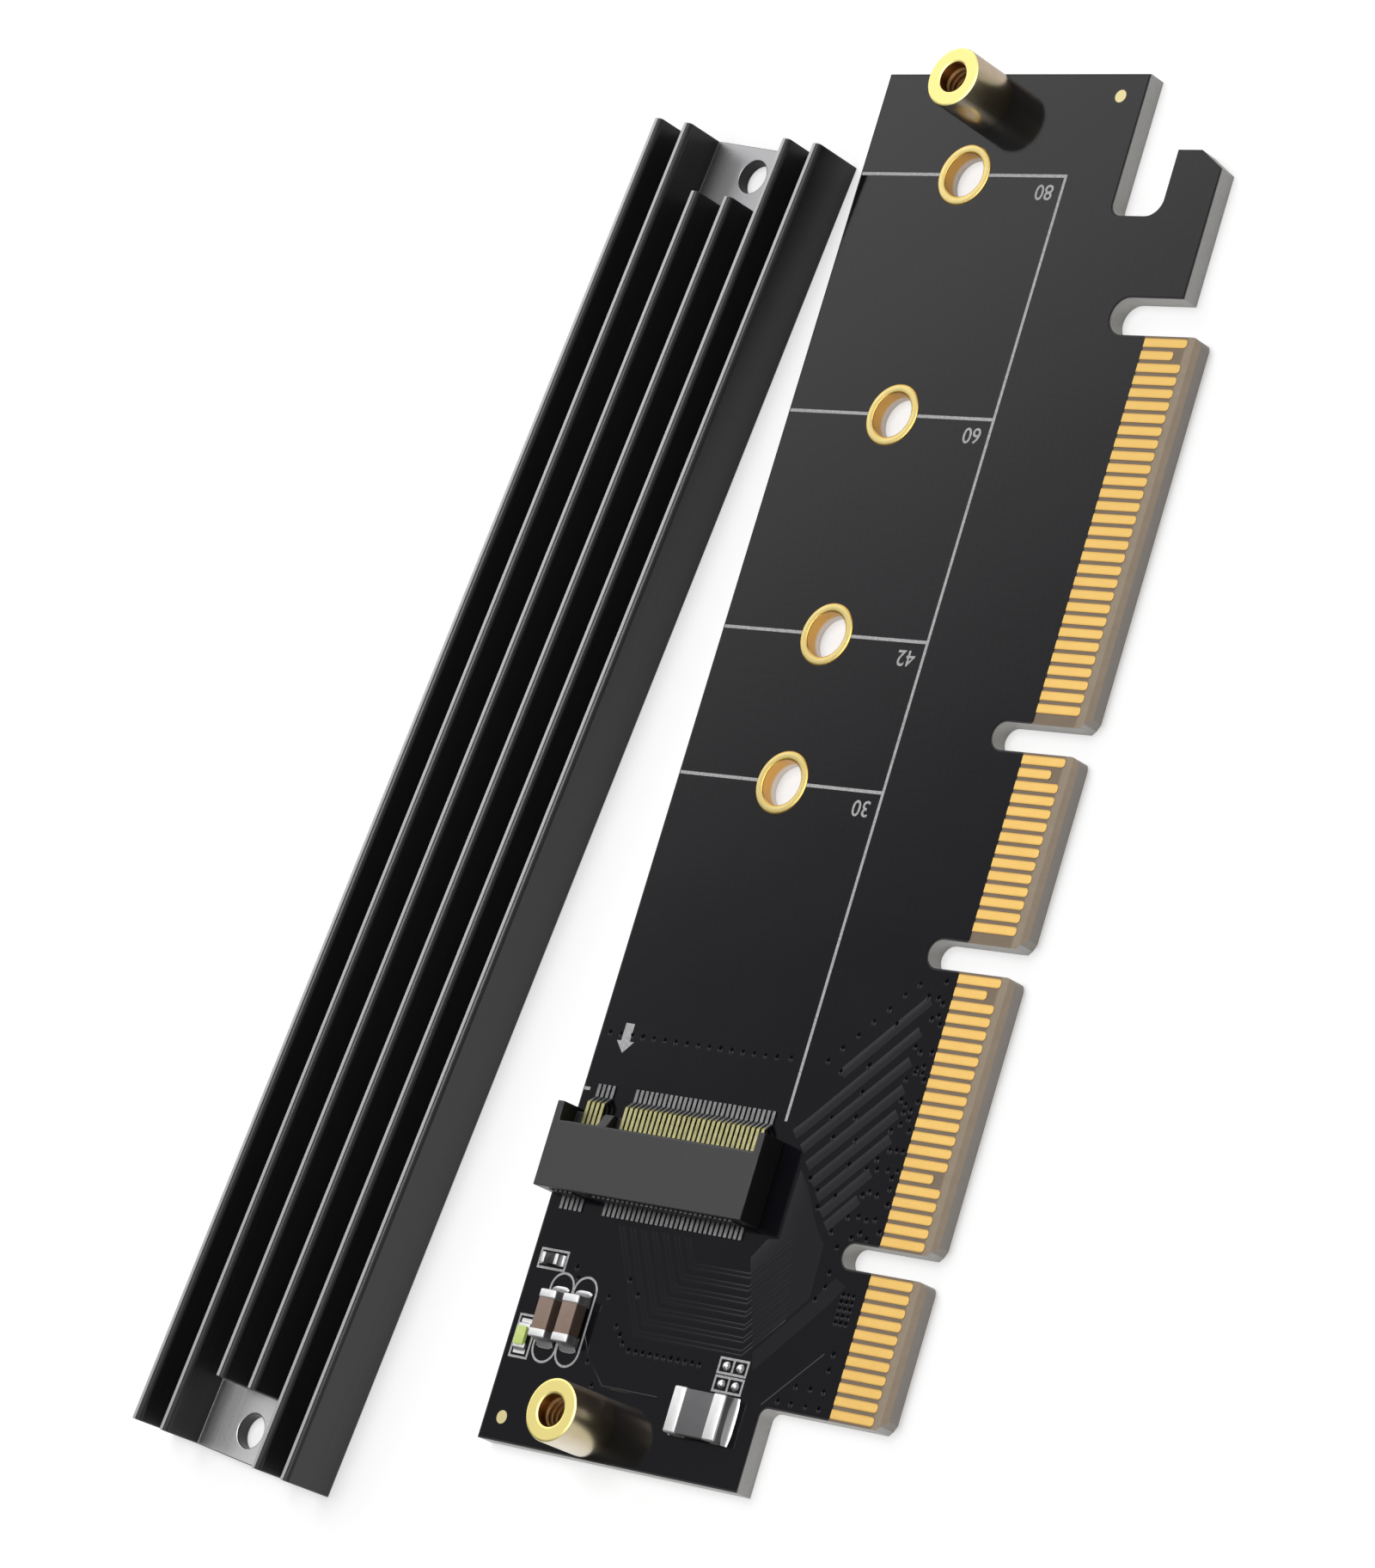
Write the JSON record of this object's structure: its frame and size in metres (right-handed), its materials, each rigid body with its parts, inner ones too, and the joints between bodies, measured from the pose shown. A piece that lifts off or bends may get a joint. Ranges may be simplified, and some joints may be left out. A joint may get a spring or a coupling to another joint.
{
  "type": "nvme adapter card",
  "caption": "Flat adapter card with a long gold contact edge, a low module socket, four lined module holes and two standoffs, with its finned heatsink lying beside it.",
  "frame": {"origin": "middle of the narrow key notch, on the contact edge, at the underside of the card", "axes": "+X along the contacts from the bracket end to the retention hook, +Y from the contact edge across the card, +Z out of the component face"},
  "size_m": [0.1188, 0.0724, 0.006],
  "materials": {
    "laminate": "woven glass laminate, satin",
    "coating": "glossy black solder mask",
    "gold": "gold plated, smooth",
    "print": "printed, matt",
    "solder": "tin, bright",
    "standoff_brass": "turned, bright",
    "socket_plastic": "moulded, satin",
    "ceramic_body": "fired ceramic, satin",
    "fuse_plastic": "satin",
    "lamp_lens": "cloudy, smooth",
    "anodised_aluminium": "black anodised, satin"
  },
  "bodies": {
    "root": {"circuit_board": "laminate", "coating_front": "coating", "coating_back": "coating", "edge_contacts_front": "gold", "edge_contacts_back": "gold", "module_hole_linings": "gold", "printed_lines": "print", "alignment_marks": "gold", "component_lands": "solder", "standoff_bracket_end": "standoff_brass", "standoff_hook_end": "standoff_brass", "socket_housing": "socket_plastic", "socket_front_contacts": "gold", "socket_rear_contacts": "gold", "outer_capacitor_body": "ceramic_body", "outer_capacitor_ends": "solder", "inner_capacitor_body": "ceramic_body", "inner_capacitor_ends": "solder", "fuse_body": "fuse_plastic", "fuse_ends": "solder", "signal_lamp_body": "lamp_lens", "signal_lamp_ends": "solder", "resistor_body": "fuse_plastic", "resistor_ends": "solder", "solder_bumps": "solder", "heatsink": "anodised_aluminium"}
  },
  "joints": []
}
